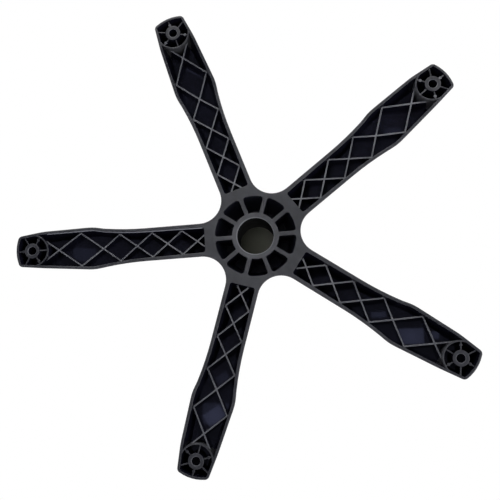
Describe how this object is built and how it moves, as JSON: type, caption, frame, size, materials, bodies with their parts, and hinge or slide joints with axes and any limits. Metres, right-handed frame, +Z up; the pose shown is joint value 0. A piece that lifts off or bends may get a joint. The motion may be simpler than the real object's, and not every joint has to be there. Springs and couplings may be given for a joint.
{
  "type": "chair base",
  "caption": "One-piece moulded star base for a swivel chair, hollow underneath with crossed ribs, a central tapered gas-lift bore and a caster socket at each tip.",
  "frame": {"origin": "on the gas-lift bore's axis, level with the bore's upper mouth", "axes": "+Z up along the gas-lift bore, +X along one arm towards its caster socket; the tips' lower rims stand 84.5 mm below the origin"},
  "size_m": [0.5901, 0.6172, 0.0845],
  "materials": {
    "nylon": "satin moulded black glass-filled nylon"
  },
  "bodies": {
    "root": {"chair_base": "nylon"}
  },
  "joints": []
}
